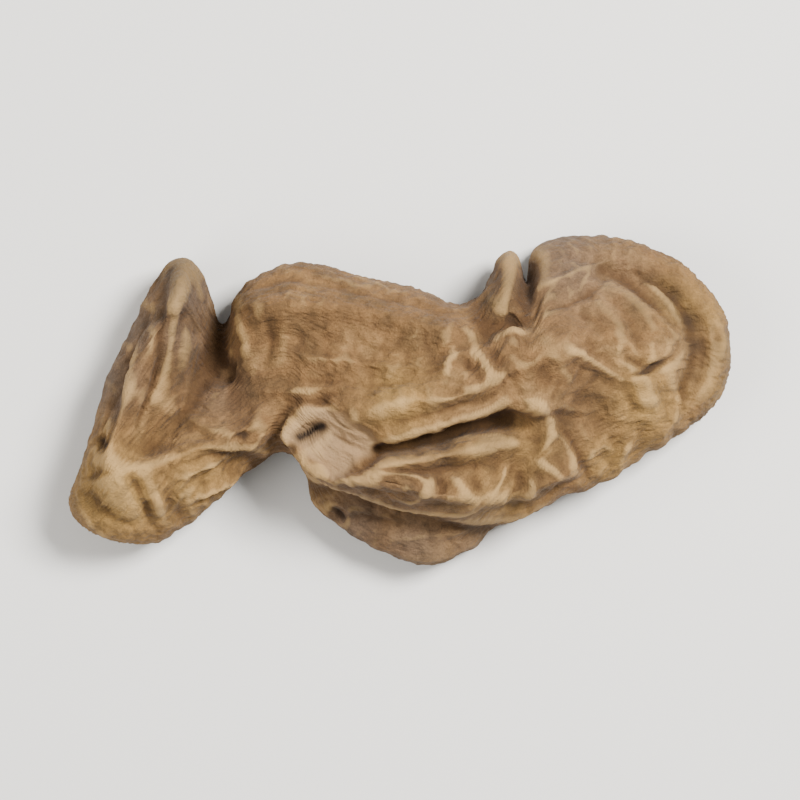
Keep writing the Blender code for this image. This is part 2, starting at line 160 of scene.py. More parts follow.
# The creases and small ridges, laid on once the broad form is smooth: height, half width, points.
CREASES = [
    # the right lobe
    (0.20, 0.30, [(8.4, 6.8), (10.5, 8.0), (13.5, 9.4), (15.6, 9.9)]),
    (-0.18, 0.40, [(9.6, 5.9), (12.0, 7.0), (14.6, 8.6)]),
    (0.30, 0.26, [(15.6, 8.7), (17.9, 7.1), (19.4, 5.0)]),
    (-0.22, 0.32, [(15.2, 8.2), (17.2, 6.8), (18.8, 4.8)]),
    (0.45, 0.28, [(10.6, 3.7), (12.2, 3.1), (13.9, 2.2), (15.6, 1.3)]),
    (-0.35, 0.34, [(14.0, 3.2), (15.8, 2.7), (17.1, 2.2), (18.5, 3.1), (19.4, 4.4)]),
    (0.30, 1.30, [(15.6, 0.0), (16.6, 0.4), (17.6, 0.8)]),
    (0.22, 0.28, [(18.3, 1.8), (18.8, -0.4), (18.0, -2.2)]),
    (-0.30, 0.38, [(20.4, 6.4), (20.8, 4.2), (20.5, 1.6), (19.4, -0.4)]),
    (0.30, 0.34, [(21.2, 6.6), (21.9, 4.6), (21.9, 2.6)]),
    (-0.12, 0.30, [(12.0, 5.4), (12.8, 5.8), (13.6, 5.2)]),
    (0.26, 0.26, [(9.9, -1.9), (11.2, -2.7), (11.8, -3.9), (10.9, -4.9)]),
    (-0.36, 0.28, [(11.0, -1.8), (12.0, -3.4), (13.2, -5.6)]),
    (0.24, 0.28, [(12.6, -4.8), (12.9, -3.5), (13.9, -3.0), (14.5, -3.7)]),
    (0.18, 0.30, [(13.0, -5.3), (13.8, -4.5), (14.2, -4.1)]),
    (0.24, 0.28, [(16.0, -2.2), (15.2, -3.4), (14.9, -4.8)]),
    (0.34, 0.26, [(8.6, -3.5), (10.1, -4.5), (11.2, -5.2)]),
    # the knot beside the tongue
    (0.36, 0.36, [(3.2, 1.4), (3.5, 2.7), (4.5, 3.5)]),
    (0.30, 0.24, [(4.2, 3.2), (5.5, 3.0), (6.0, 2.1), (5.7, 1.3)]),
    (-0.55, 0.34, [(4.3, 2.3), (4.8, 2.5), (5.3, 2.0)]),
    (0.22, 0.28, [(5.8, 1.4), (4.8, 1.0), (3.8, 0.9)]),
    (0.40, 0.28, [(6.6, 5.3), (7.6, 6.1), (8.5, 6.3)]),
    (0.36, 0.26, [(6.8, 4.2), (7.6, 4.7), (8.5, 4.6)]),
    (-0.50, 0.28, [(6.0, 4.8), (7.3, 5.3), (8.7, 5.3)]),
    (-0.30, 0.34, [(5.7, 4.6), (6.3, 3.0), (7.4, 2.2)]),
    # the long ridge, the pocket and its lip
    (0.34, 0.36, [(-3.0, -1.0), (0.2, -0.1), (3.5, 0.3), (6.3, 1.5), (9.0, 2.7), (11.4, 3.3)]),
    (0.30, 0.90, [(-2.4, 0.0), (-0.4, -0.3), (1.8, 0.5)]),
    (-0.34, 0.34, [(-1.4, -1.6), (2.0, -0.9), (5.0, 0.0), (7.6, 1.0)]),
    (0.50, 0.22, [(-1.8, -2.9), (1.2, -2.0), (4.4, -1.0), (7.4, 0.0)]),
    (0.42, 0.24, [(7.0, 0.2), (8.9, 0.0), (10.1, -1.2), (10.0, -2.8), (8.8, -4.2)]),
    (0.26, 0.34, [(2.6, -3.2), (4.6, -2.6), (6.4, -2.4), (8.0, -2.9)]),
    (-0.34, 0.30, [(-1.4, -3.3), (1.2, -2.6), (4.2, -1.8), (7.0, -1.0)]),
    (-0.50, 0.30, [(-2.0, -4.6), (0.6, -4.7), (3.4, -4.6), (6.6, -4.0)]),
    # the lower ridge and its ripples
    (0.36, 0.24, [(-3.6, -5.2), (-1.3, -4.8), (1.0, -5.0), (1.8, -5.9), (0.8, -6.7), (-1.2, -6.1)]),
    (-0.40, 0.28, [(-1.8, -5.6), (-0.4, -5.6), (0.6, -5.8)]),
    (0.26, 0.22, [(1.9, -4.7), (2.2, -5.6), (1.8, -6.6)]),
    (-0.34, 0.26, [(2.8, -4.9), (3.0, -5.8), (2.8, -6.8)]),
    (0.36, 0.24, [(3.5, -4.9), (4.2, -5.8), (4.9, -7.0)]),
    (-0.34, 0.26, [(5.0, -4.6), (5.4, -5.8), (5.7, -6.8)]),
    (0.42, 0.24, [(7.2, -3.8), (6.9, -5.3), (6.0, -6.9)]),
    (-0.36, 0.26, [(8.2, -4.4), (8.0, -5.8), (7.3, -6.9)]),
    (0.32, 0.24, [(8.8, -4.8), (9.0, -5.9), (8.3, -6.9)]),
    (0.40, 0.30, [(1.2, -7.5), (4.2, -8.1), (7.0, -7.9), (9.2, -7.0), (11.0, -6.0)]),
    (0.36, 0.26, [(-3.2, -5.6), (-0.9, -6.8), (0.8, -7.3), (3.5, -7.5), (6.2, -7.0)]),
    (-0.30, 0.28, [(-1.6, -6.4), (0.2, -7.1), (2.4, -7.7), (4.6, -8.5)]),
    # the skirt below it
    (0.20, 0.36, [(-1.4, -9.6), (1.2, -9.3), (4.2, -8.9), (6.6, -8.8)]),
    (-0.22, 0.40, [(-3.6, -7.6), (-1.0, -8.3), (2.0, -8.7)]),
    (0.50, 0.30, [(-6.2, -5.8), (-4.8, -8.0), (-2.0, -10.0), (1.6, -11.1), (4.6, -10.6), (7.2, -9.0)]),
    # the stub
    (0.45, 0.26, [(-4.8, -0.4), (-6.7, -0.7), (-7.5, -2.3), (-6.0, -3.9), (-4.3, -5.2), (-3.4, -4.4)]),
    (0.30, 0.26, [(-4.8, -0.4), (-3.2, -1.5), (-1.5, -2.7)]),
    (-0.50, 0.34, [(-3.7, -5.5), (-2.4, -4.2), (-0.9, -3.0)]),
    (-0.50, 0.30, [(-5.9, -0.2), (-5.2, 0.2), (-4.6, -0.4)]),
    (-0.26, 0.24, [(-4.6, -2.2), (-3.7, -2.8), (-2.7, -3.3)]),
    (0.22, 0.22, [(-5.2, -1.1), (-3.8, -1.7), (-2.2, -2.5)]),
    (0.16, 0.26, [(-6.2, -2.9), (-5.2, -3.5), (-4.4, -4.4)]),
    (-0.40, 0.30, [(-8.5, -2.8), (-8.0, -1.4), (-7.2, -0.2)]),
    # the heel
    (0.40, 0.28, [(-8.6, -1.6), (-10.1, -2.9), (-11.9, -3.0), (-13.8, -3.3)]),
    (0.60, 0.28, [(-11.4, -3.6), (-13.4, -4.5), (-15.6, -5.7)]),
    (0.60, 0.28, [(-9.6, -4.3), (-11.9, -5.4), (-13.5, -6.2), (-15.2, -7.3)]),
    (-0.40, 0.32, [(-10.4, -3.8), (-12.8, -4.9), (-15.4, -6.5)]),
    (-0.30, 0.30, [(-10.8, -3.3), (-13.4, -3.9), (-16.0, -4.9)]),
    (0.55, 0.28, [(-16.3, -5.9), (-16.2, -7.0), (-15.8, -7.9)]),
    (-0.36, 0.30, [(-18.2, -4.2), (-17.3, -6.3), (-16.6, -8.6)]),
    (0.30, 0.30, [(-21.6, -7.2), (-20.0, -8.9), (-17.6, -9.4)]),
    (-0.20, 0.30, [(-20.8, -6.2), (-19.4, -7.9), (-17.2, -8.6)]),
    (-0.40, 0.32, [(-21.8, -5.4), (-19.8, -4.8), (-18.0, -5.2)]),
    # the left strip
    (-0.50, 0.36, [(-15.4, 8.8), (-15.9, 6.4), (-15.9, 3.0), (-16.8, 0.0), (-17.9, -2.8)]),
    (0.24, 0.30, [(-17.2, 4.8), (-17.9, 2.0), (-18.6, -1.0)]),
    (-0.24, 0.30, [(-16.6, 7.0), (-18.1, 3.0), (-19.1, -0.4), (-19.5, -2.4)]),
    (-0.34, 0.24, [(-13.7, 9.2), (-13.9, 7.0), (-14.7, 4.4), (-15.2, 1.8)]),
    (0.24, 0.24, [(-14.5, 9.2), (-14.6, 7.2), (-15.2, 4.8)]),
    (-0.26, 0.22, [(-13.2, 7.4), (-13.6, 5.4), (-14.2, 3.4)]),
    # the middle lobe
    (-0.70, 0.60, [(-12.1, 3.2), (-11.7, 2.0), (-11.4, 0.8)]),
    (0.30, 0.34, [(-10.8, 6.2), (-10.2, 4.2), (-10.4, 2.4)]),
    (-0.16, 0.40, [(-9.0, 6.0), (-8.6, 3.8), (-9.4, 1.8)]),
    (-0.18, 0.50, [(-8.2, 4.7), (-5.0, 4.2), (-1.0, 3.5), (3.0, 3.2)]),
    (0.24, 0.45, [(-7.6, 3.2), (-4.0, 2.8), (0.0, 2.3), (2.8, 2.4)]),
    (-0.24, 0.45, [(-7.2, 1.6), (-4.2, 1.4), (-1.0, 1.2), (2.2, 1.6)]),
    (0.26, 0.40, [(-9.4, 0.6), (-7.0, 0.6), (-4.0, 1.0)]),
]

# Short splits and pits, pressed in once the sheet is dry: the same three values.
SPLITS = [
    (-1.60, 0.32, [(-7.1, -2.65), (-6.3, -2.3), (-5.6, -2.0), (-4.7, -1.6)]),
    (-0.90, 0.26, [(-20.3, -2.3), (-20.0, -2.8), (-19.8, -3.4)]),
    (-0.45, 0.18, [(15.5, 1.8), (16.5, 2.0), (17.3, 2.35), (18.3, 3.0)]),
    (-0.60, 0.26, [(-11.0, -2.0), (-10.6, -2.3), (-10.1, -2.6)]),
    (-0.50, 0.26, [(-4.7, -7.3), (-4.1, -7.8), (-3.6, -8.3)]),
]

# Soft spots, each with x, y, radius and strength: where the skin is a warmer gold, partly its own
# tone and partly a painted highlight, where painted shade darkens it, and where it is greyer.
GOLDEN_AND_HIGHLIT = [(-18.8, -6.4, 3.4, 1.0), (-13.6, -5.4, 2.8, 0.6), (22.2, 3.4, 1.3, 0.8), (16.6, -0.4, 2.8, 0.8),
          (21.4, 0.9, 1.6, 0.6), (21.0, 5.8, 1.5, 0.6), (14.2, -4.0, 1.9, 0.75), (8.4, -3.2, 2.0, 0.4),
          (0.0, -0.2, 2.4, 0.7), (4.6, -3.6, 1.6, 0.3), (6.5, -7.0, 2.8, 0.5), (19.4, 6.4, 2.2, 0.5)]
SHADED = [(7.3, 5.3, 0.45, 0.6), (7.0, 8.0, 1.5, 0.42), (6.3, 6.4, 1.0, 0.3), (7.0, 8.6, 1.7, 0.3),
          (16.8, 8.3, 0.8, 0.35), (18.5, 7.1, 0.9, 0.6), (19.5, 5.4, 1.0, 0.7), (19.8, 3.6, 0.9, 0.6),
          (20.1, 1.6, 0.8, 0.4), (21.5, 3.2, 2.2, 0.36), (12.6, 0.0, 2.0, 0.27), (8.7, -6.1, 1.3, 0.3),
          (4.6, -1.9, 0.8, 0.35), (1.8, -2.6, 0.8, 0.35), (3.0, -3.6, 1.6, 0.28), (6.2, -2.8, 1.5, 0.28),
          (-14.5, 8.6, 2.0, 0.55), (-14.8, 5.2, 1.6, 0.3), (-15.5, 2.4, 1.3, 0.25)]
# The greyer spot over the hollow at (-12, 0.6) is a painted reflection; the others are the skin's greyer
# tone.
GREYED = [(11.4, 9.2, 3.2, 0.55), (14.6, 9.0, 2.0, 0.3), (-19.4, 1.6, 2.2, 0.8), (-18.2, 5.0, 2.0, 0.7),
          (-3.2, -8.4, 2.6, 0.7), (1.0, -9.6, 3.0, 0.6), (5.0, -9.2, 2.4, 0.5), (-12.0, 0.6, 2.4, 0.4),
          (-14.2, 7.0, 1.8, 0.7), (-14.6, 4.2, 1.5, 0.55)]

SMOOTH_HEEL = (-20.4, -6.6, 2.8, 0.8)   # the heel's end, where the rim stayed taut: the same values

# The pleats of the rim: height, how many there are round the rim, and how many rings they change in.
PLEATS = [(0.22, 48, 4), (0.10, 110, 5), (0.04, 190, 6)]

# The stub where it grew from the wood, cut off flat: its corners, clockwise from the left one,
# then a place on the cut, its height there and its slope along x and y.
STUB_CORNERS = [(-7.4, -2.2), (-6.7, -0.8), (-4.9, -0.5), (-1.5, -2.7), (-4.3, -5.1)]
STUB_PLANE = (-4.6, -2.9, 9.0, 0.16, 0.22)


def curve_through(points, count):
    """A Catmull-Rom curve through the points of an open line, at evenly spaced parameters."""
    points = np.asarray(points, float)
    padded = np.vstack([2 * points[0] - points[1], points, 2 * points[-1] - points[-2]])
    place = np.linspace(0, len(points) - 1, count)
    first = np.minimum(place.astype(int), len(points) - 2)
    t = (place - first)[:, None]
    p0, p1, p2, p3 = (padded[first + i] for i in range(4))
    return 0.5 * (
        2 * p1 + (p2 - p0) * t + (2 * p0 - 5 * p1 + 4 * p2 - p3) * t**2 + (3 * p1 - p0 - 3 * p2 + p3) * t**3
    )


def net_on_disc(lines):
    """A square net eased onto the unit disc: a = u sqrt(1 - v^2 / 2), b = v sqrt(1 - u^2 / 2)."""
    side = np.linspace(-1, 1, lines)
    u, v = np.meshgrid(side, side)
    return u * np.sqrt(1 - v**2 / 2), v * np.sqrt(1 - u**2 / 2)


def rim_table():
    """The rim's rows by angle on the disc, closed over the full turn, with the way out of each point."""
    rows = np.array(RIM, float)
    turns = np.arccos(np.clip(rows[:, 0] / HALF_LENGTH, -1, 1))
    lower = np.arange(len(rows)) > np.argmin(rows[:, 0])
    turns[lower] = 2 * np.pi - turns[lower]
    whole = np.concatenate([turns[-3:] - 2 * np.pi, turns, turns[:3] + 2 * np.pi])
    wrapped = np.vstack([rows[-3:], rows, rows[:3]])
    line = curve_through(np.column_stack([whole, wrapped]), 40 * len(rows))
    angle = line[:, 0]
    along = np.gradient(line[:, 1:3], angle, axis=0)
    out = np.column_stack([along[:, 1], -along[:, 0]])
    bell = np.exp(-0.5 * np.linspace(-2.5, 2.5, 161) ** 2)     # spans about four of the table's rows
    out = np.column_stack([np.convolve(out[:, i], bell, mode="same") for i in range(2)])
    out /= np.linalg.norm(out, axis=1, keepdims=True)
    return angle, line[:, 1:], out


def beside_line(line, x, y):
    """Distance from each x, y to a line of points, with whether the place is on the line's left,
    the unit way out to its right, and how far along the line it is, from 0 to 1."""
    nearest = np.full(x.shape, 1e9)
    way_x, way_y = np.zeros(x.shape), np.zeros(x.shape)
    left, along = np.zeros(x.shape, bool), np.zeros(x.shape)
    for number, ((x0, y0), (x1, y1)) in enumerate(zip(line[:-1], line[1:])):
        dx, dy = x1 - x0, y1 - y0
        t = np.clip(((x - x0) * dx + (y - y0) * dy) / (dx * dx + dy * dy), 0, 1)
        gap_x, gap_y = x - x0 - t * dx, y - y0 - t * dy
        gap = np.hypot(gap_x, gap_y)
        closer = gap < nearest
        nearest = np.where(closer, gap, nearest)
        side = dx * gap_y - dy * gap_x
        left = np.where(closer, side > 0, left)
        length = math.hypot(dx, dy)
        way_x, way_y = np.where(closer, dy / length, way_x), np.where(closer, -dx / length, way_y)
        along = np.where(closer, (number + t) / (len(line) - 1), along)
    return nearest, left, way_x, way_y, along


def tent(share, rounding):
    """A crest that is 1 on its line and falls off as exp(-share) beside it, rounded over at the top:
    exp(rounding - sqrt(share^2 + rounding^2))."""
    return np.exp(rounding - np.hypot(share, rounding))


def softened(values, passes):
    """The net with each point moved to the mean of itself and its neighbours, a few times over."""
    flat = values.ndim == 2
    values = values[..., None] if flat else values
    for _ in range(passes):
        wide = np.pad(values, ((1, 1), (1, 1), (0, 0)), mode="reflect", reflect_type="odd")
        rows = 0.25 * (wide[:-2] + 2 * wide[1:-1] + wide[2:])
        values = 0.25 * (rows[:, :-2] + 2 * rows[:, 1:-1] + rows[:, 2:])
    return values[..., 0] if flat else values


def net_normals(points):
    """Unit normals of the net: the cross product of its two central differences."""
    normal = np.cross(np.gradient(points, axis=1), np.gradient(points, axis=0))
    return normal / np.maximum(np.linalg.norm(normal, axis=-1, keepdims=True), 1e-12)


def off_corners():
    """0 at the net's four corners, where its lines fold together, rising to 1 about ten lines away:
    1 - exp(-(lines / CORNER_LINES)^2), with lines counted from the farther of the two sides."""
    from_side = np.minimum(np.arange(NET), np.arange(NET)[::-1])
    return 1 - np.exp(-(np.maximum(from_side[:, None], from_side) / CORNER_LINES) ** 2)


def stub_hold(x, y, ease):
    """1 on the stub's flat cut and 0 beyond it, easing over a width around its four edges. How far
    out a place is: the largest of its distances past the lines of the edges, made uneven by two
    sine waves."""
    away = np.full(x.shape, -1e9)
    for (x0, y0), (x1, y1) in zip(STUB_CORNERS, STUB_CORNERS[1:] + STUB_CORNERS[:1]):
        dx, dy = x1 - x0, y1 - y0
        away = np.maximum(away, (dx * (y - y0) - dy * (x - x0)) / math.hypot(dx, dy))
    away += 0.16 * np.sin(2.3 * x + 1.1 * y) + 0.12 * np.sin(1.3 * x - 3.1 * y + 1.0)
    share = np.clip(1 - away / ease, 0, 1)
    return share * share * (3 - 2 * share)


def cut_flat(points):
    """Presses the net onto the sloping plane of the stub's cut, inside its edges."""
    at_x, at_y, at_z, slope_x, slope_y = STUB_PLANE
    x, y = points[..., 0], points[..., 1]
    plane = at_z + slope_x * (x - at_x) + slope_y * (y - at_y)
    pressed = points.copy()
    pressed[..., 2] += (plane - points[..., 2]) * stub_hold(x, y, ease=0.5)
    return pressed


def broad_form(passes):
    """The curled sheet: over the flat share of the net a crown with folds, z = shoulder + rise (1 -
    share^4) + the folds' tents, and past it a roll that turns outwards and down about the rim."""
    a, b = net_on_disc(NET)
    reach = np.hypot(a, b)
    turn = np.arctan2(b, a)
    angle, rows, out = rim_table()
    start_y, radius, turned, edge_z = (
        np.interp(turn, angle, rows[:, i], period=2 * np.pi) for i in (1, 2, 3, 4)
    )
    out_x, out_y = (np.interp(turn, angle, out[:, i], period=2 * np.pi) for i in (0, 1))

    share = np.minimum(reach / FLAT_SHARE, 1)
    scale = share / np.maximum(reach, 1e-9)
    flat_a, flat_b = a * scale, b * scale
    x = HALF_LENGTH * flat_a
    quarter = np.arccos(np.clip(flat_a, -1, 1))
    upper, lower = np.interp(quarter, angle, rows[:, 1]), np.interp(2 * np.pi - quarter, angle, rows[:, 1])
    across = flat_b / np.sqrt(np.maximum(1 - flat_a**2, 1e-9))
    y = np.where(share < 1, lower + (upper - lower) * (across + 1) / 2, start_y)

    z = SHOULDER + (CROWN - SHOULDER) * (1 - share**4)
    lean_x, lean_y = np.zeros(x.shape), np.zeros(x.shape)
    for height, left_width, right_width, lean, points in FOLDS.values():
        gap, left, way_x, way_y, _ = beside_line(curve_through(points, 25), x, y)
        rise = tent(gap / np.where(left, left_width, right_width), FOLD_ROUNDING)
        z = z + height * rise
        lean_x, lean_y = lean_x + lean * rise**2 * way_x, lean_y + lean * rise**2 * way_y

    start = np.radians(ROLL_START)
    rolled = np.clip((reach - FLAT_SHARE) / (1 - FLAT_SHARE), 0, 1)
    slope = start + (np.radians(turned) - start) * rolled
    go_out = radius * (np.sin(slope) - np.sin(start))
    go_down = (np.cos(start) - np.cos(slope)) / (np.cos(start) - np.cos(np.radians(turned)))
    points = np.stack(
        [x + lean_x + go_out * out_x, y + lean_y + go_out * out_y, z + (edge_z - z) * go_down], axis=-1
    )
    return cut_flat(softened(points, passes))


def creased(points, lines, uneven):
    """Lays each crease and small ridge on the net: a tent of its height along the surface's normal,
    by the place's x and y. It thins out at the line's two ends and fades out at the net's corners
    and where the sheet turns down towards the rim's edge. It is a tenth higher than its row says,
    which the later softening takes off, and higher and lower in patches by the share uneven."""
    normal = net_normals(softened(points, 6))
    shown = np.clip((normal[..., 2] - 0.05) / 0.35, 0, 1)
    x, y = points[..., 0], points[..., 1]
    push = np.zeros(x.shape)
    for height, width, line in lines:
        gap, _, _, _, along = beside_line(curve_through(line, 5 * len(line)), x, y)
        taper = np.clip(3 * along, 0.15, 1) * np.clip(3 * (1 - along), 0.15, 1)
        push += height * taper * tent(gap / width, CREASE_ROUNDING)
    push *= off_corners() * (1.1 + uneven * (2 * patchy(9) - 1))
    return points + normal * (push * shown)[..., None]


def in_splits(points):
    """How much painted shade each point has for lying in a split: (0.45 + 0.35 depth)
    exp(-(gap / width)^4) about the split's line, at most 1, fading at the line's two ends."""
    x, y = points[..., 0], points[..., 1]
    amount = np.zeros(x.shape)
    for height, width, line in SPLITS:
        gap, _, _, _, along = beside_line(curve_through(line, 5 * len(line)), x, y)
        taper = np.clip(7 * along, 0, 1) * np.clip(7 * (1 - along), 0, 1)
        dark = min(0.45 - 0.35 * height, 1)
        amount = np.maximum(amount, dark * taper * np.exp(-((gap / width) ** 4)))
    return amount


# ------------------------------------------------------------------------------------ drying


def patchy(grain):
    """Smooth random patches on the net about grain lines across, scaled to run from 0 to 1."""
    coarse = RNG.random((NET // grain + 4, NET // grain + 4))
    place = np.linspace(1, coarse.shape[0] - 3, NET)
    near = place.astype(int)
    t = place - near
    ease = t * t * (3 - 2 * t)
    rows = coarse[near] * (1 - ease)[:, None] + coarse[near + 1] * ease[:, None]
    field = rows[:, near] * (1 - ease) + rows[:, near + 1] * ease
    field = softened(field, max(grain // 3, 1) ** 2)
    return (field - field.min()) / (field.max() - field.min())


def laplace(values):
    """Sum over the four neighbours of their difference from each point, with free edges."""
    wide = np.pad(values, ((1, 1), (1, 1), (0, 0)), mode="edge")
    return wide[2:, 1:-1] + wide[:-2, 1:-1] + wide[1:-1, 2:] + wide[1:-1, :-2] - 4 * values


def dried(points, around, outwards, bend, hold_across, hold_along, passes):
    """Dries the sheet: its skin keeps more length than its shape has room for, so it buckles. A
    thread at an angle t to the rings keeps around cos^2 t + outwards sin^2 t more. Each pass moves
    every point by the pull of its eight threads towards their own lengths, less bend times the
    second Laplacian of its shift, less hold_across times the shift's part along the normal and
    hold_along times the rest, with heavy damping. No point ends below the surface it lies on."""
    a, b = net_on_disc(NET)
    start = points.astype(np.float32)
    normal = net_normals(softened(points, 4)).astype(np.float32)
    now = start + normal * RNG.normal(0, 0.02, (NET, NET, 1)).astype(np.float32)
    speed = np.zeros_like(now)
    everything = slice(None)
    ahead, behind = slice(1, None), slice(None, -1)
    straight_pull, slanting_pull, damping = 0.16, 0.06, 0.9
    threads = []
    for one, other, stiff in (
        ((ahead, everything), (behind, everything), straight_pull),
        ((everything, ahead), (everything, behind), straight_pull),
        ((ahead, ahead), (behind, behind), slanting_pull),
        ((ahead, behind), (behind, ahead), slanting_pull),
    ):
        length = np.linalg.norm(start[one] - start[other], axis=-1)
        da, db = a[one] - a[other], b[one] - b[other]
        mid_a, mid_b = a[one] + a[other], b[one] + b[other]
        ringwise = (mid_a * db - mid_b * da) ** 2 / ((mid_a**2 + mid_b**2) * (da**2 + db**2) + 1e-12)
        more = around[one] * ringwise + outwards[one] * (1 - ringwise)
        threads.append((one, other, stiff, (length * (1 + more))[..., None].astype(np.float32)))
    for _ in range(passes):
        shift = now - start
        across = np.einsum("ijk,ijk->ij", shift, normal)[..., None] * normal
        pull = -bend * laplace(laplace(shift)) - hold_along * shift - (hold_across - hold_along) * across
        for one, other, stiff, grown in threads:
            gap = now[one] - now[other]
            length = np.sqrt(np.einsum("ijk,ijk->ij", gap, gap))[..., None] + 1e-9
            tug = gap * (stiff * (grown / length - 1))
            pull[one] += tug
            pull[other] -= tug
        speed = damping * (speed + pull)
        now = now + speed
    now[..., 2] = np.maximum(now[..., 2], 0)
    return now.astype(float)


def dried_in_two_stages(net):
    """Dries the net twice, with the stub held flat. The length that the skin keeps too much of comes
    in random patches, from 0 to 1. First they are broad: 0.06 patches^1.5 (1 - 0.6 rim), and 0.015
    rim patches more around the rings, which ripples the rim. Then they are smaller and bend more
    easily: 0.010 + 0.065 patches^2 + 0.010 rim around the rings, 0.010 + 0.055 patches^2 outwards."""
    a, b = net_on_disc(NET)
    near_rim = np.clip((np.hypot(a, b) - 0.55) / 0.4, 0, 1)
    free = 1 - stub_hold(net[..., 0], net[..., 1], ease=1.0)
    in_middle = 1 - 0.6 * near_rim
    around = free * (0.06 * patchy(30) ** 1.5 * in_middle + 0.015 * near_rim * patchy(24))
    outwards = free * (0.06 * patchy(30) ** 1.5 * in_middle)
    net = dried(net, around, outwards, bend=0.011, hold_across=0.0001, hold_along=0.01, passes=500)
    around = free * (0.010 + 0.065 * patchy(24) ** 2 + 0.010 * near_rim)
    outwards = free * (0.010 + 0.055 * patchy(24) ** 2)
    return dried(net, around, outwards, bend=0.0010, hold_across=0.0002, hold_along=0.01, passes=240)


# -------------------------------------------------------------------------- finer wrinkles


def ripples(fine, coarse):
    """Wrinkles of one width: noise softened fine passes less noise softened coarse passes."""
    field = RNG.normal(0, 1, (NET, NET))
    field = softened(field, fine) - softened(field, coarse)
    return field / field.std()


def pleats(spokes, rings):
    """Smooth noise that runs in pleats out to the rim: random values on so many spokes and rings of
    the disc, eased between them by the net's turn and reach, from -1 to 1."""
    a, b = net_on_disc(NET)
    values = RNG.uniform(-1, 1, (spokes, rings + 2))
    turn = (np.arctan2(b, a) / (2 * np.pi) % 1) * spokes
    out = np.minimum(np.hypot(a, b), 1) * rings
    spoke, ring = np.floor(turn).astype(int), np.floor(out).astype(int)
    s, t = turn - spoke, out - ring
    s, t = s * s * (3 - 2 * s), t * t * (3 - 2 * t)
    this, following = values[spoke % spokes], values[(spoke + 1) % spokes]
    mixed = this * (1 - s)[..., None] + following * s[..., None]
    inner, outer = (np.take_along_axis(mixed, (ring + i)[..., None], axis=-1)[..., 0] for i in (0, 1))
    return inner * (1 - t) + outer * t


def wrinkled(points):
    """Adds the skin's finest wrinkles along the normal: pleats that deepen towards the rim, a crazed
    net of small ridges where two families of ripples cross, in patches, and a fine grain. All of
    them are a little lower on the stub and fade out at the net's corners."""
    a, b = net_on_disc(NET)
    near_rim = np.clip((np.hypot(a, b) - 0.45) / 0.5, 0, 1) ** 2 * (1 - tinted(points, [SMOOTH_HEEL]))
    crazed = 1.6 - np.abs(ripples(4, 16)) - np.abs(ripples(3, 12))
    pleated = sum(height * pleats(spokes, rings) for height, spokes, rings in PLEATS)
    push = near_rim * pleated * (0.3 + 0.9 * patchy(30))
    push += 0.045 * crazed * patchy(30)
    push += 0.020 * ripples(1, 4) * patchy(24) + 0.006 * ripples(0, 2)
    push *= off_corners() * (1 - 0.3 * stub_hold(points[..., 0], points[..., 1], ease=0.6))
    return points + net_normals(softened(points, 2)) * push[..., None]


def tinted(points, places):
    """How much of a tint each point has: a soft round spot about each place, exp(-(gap / radius)^2)."""
    amount = np.zeros(points.shape[:2])
    for x, y, radius, strength in places:
        gap = np.hypot(points[..., 0] - x, points[..., 1] - y)
        amount = np.maximum(amount, strength * np.exp(-((gap / radius) ** 2)))
    return amount


# ------------------------------------------------------------------------------- the piece


def flesh(outer):
    """The inner side: the outer side softened, then moved in along its normals by the flesh's
    thickness, edge + (middle - edge) (1 - reach^3), and moved further wherever that leaves it less
    than the edge's thickness away. A corner of the net takes the way in of a point beside it."""
    a, b = net_on_disc(NET)
    reach = np.hypot(a, b)
    middle = softened(outer, 12)
    thickness = EDGE_FLESH + (MIDDLE_FLESH - EDGE_FLESH) * (1 - reach**3)
    inward = net_normals(middle) * -thickness[..., None]
    first, last = slice(None, CORNER_LINES), slice(-CORNER_LINES, None)
    for rows, near_row in ((first, CORNER_LINES), (last, -CORNER_LINES - 1)):
        for columns, near_column in ((first, CORNER_LINES), (last, -CORNER_LINES - 1)):
            inward[rows, columns] = inward[near_row, near_column]
    inward = softened(inward, 4)
    inner = middle + inward
    into = inward / np.linalg.norm(inward, axis=-1, keepdims=True)
    depth = np.einsum("ijk,ijk->ij", inner - outer, into)
    inner += into * np.maximum(EDGE_FLESH - depth, 0)[..., None]
    at_edge = outer + inward
    near_edge = np.clip((reach - 0.93) / 0.07, 0, 1)[..., None]
    return inner * (1 - near_edge) + at_edge * near_edge


def edge_loop(net):
    """The net's outer edge as one closed line of points, in order round the square."""
    return np.concatenate([net[0, :-1], net[:-1, -1], net[-1, :0:-1], net[:0:-1, 0]])


